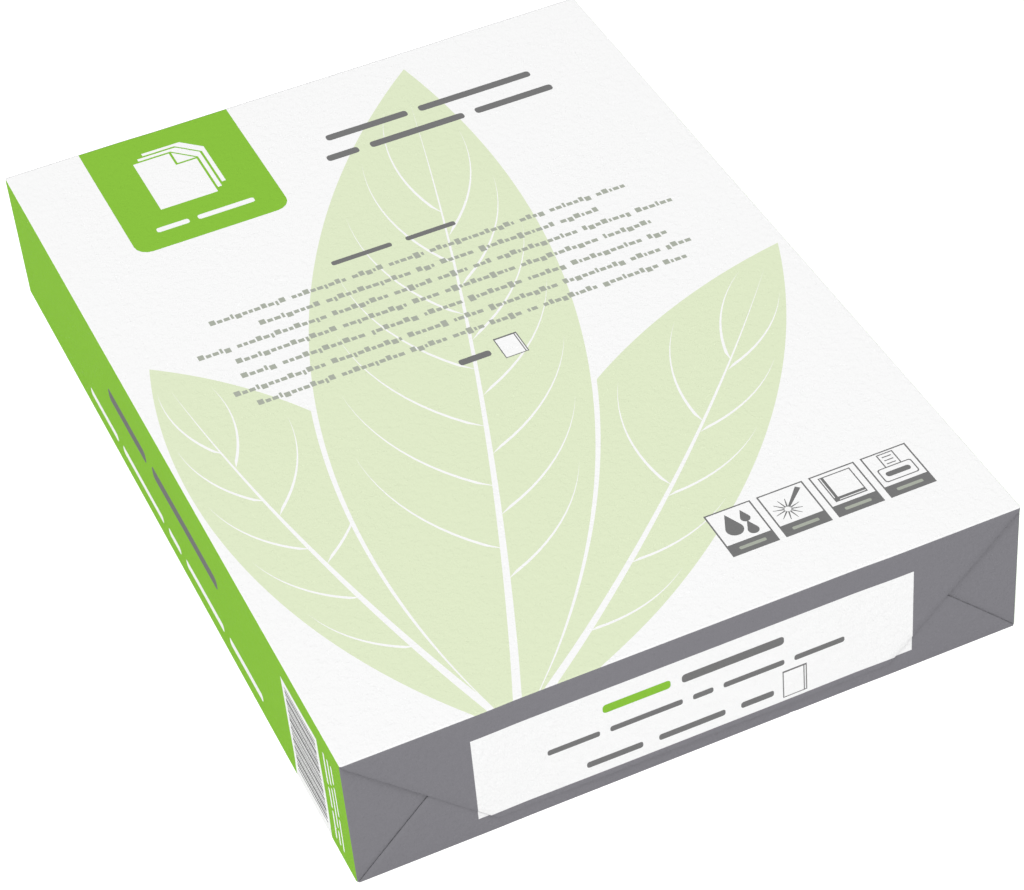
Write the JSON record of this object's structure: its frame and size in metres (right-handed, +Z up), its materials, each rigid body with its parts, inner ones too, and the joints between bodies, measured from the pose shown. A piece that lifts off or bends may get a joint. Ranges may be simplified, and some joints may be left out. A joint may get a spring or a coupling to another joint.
{
  "type": "ream of paper",
  "caption": "Sealed ream of A4 copier paper in a printed wrapper, with tucked and folded ends and a lap seam along the underside.",
  "frame": {"origin": "middle of the underside", "axes": "+X across the sheets, +Y along the sheets towards the plain end, +Z up through the stack. The labelled end faces -Y."},
  "size_m": [0.2102, 0.299, 0.0482],
  "materials": {
    "wrapper": "White coated wrapping paper, printed in green, pale green and grey, with a fine fibre grain and a low sheen."
  },
  "bodies": {
    "root": {"wrapped_ream": "wrapper"}
  },
  "joints": []
}
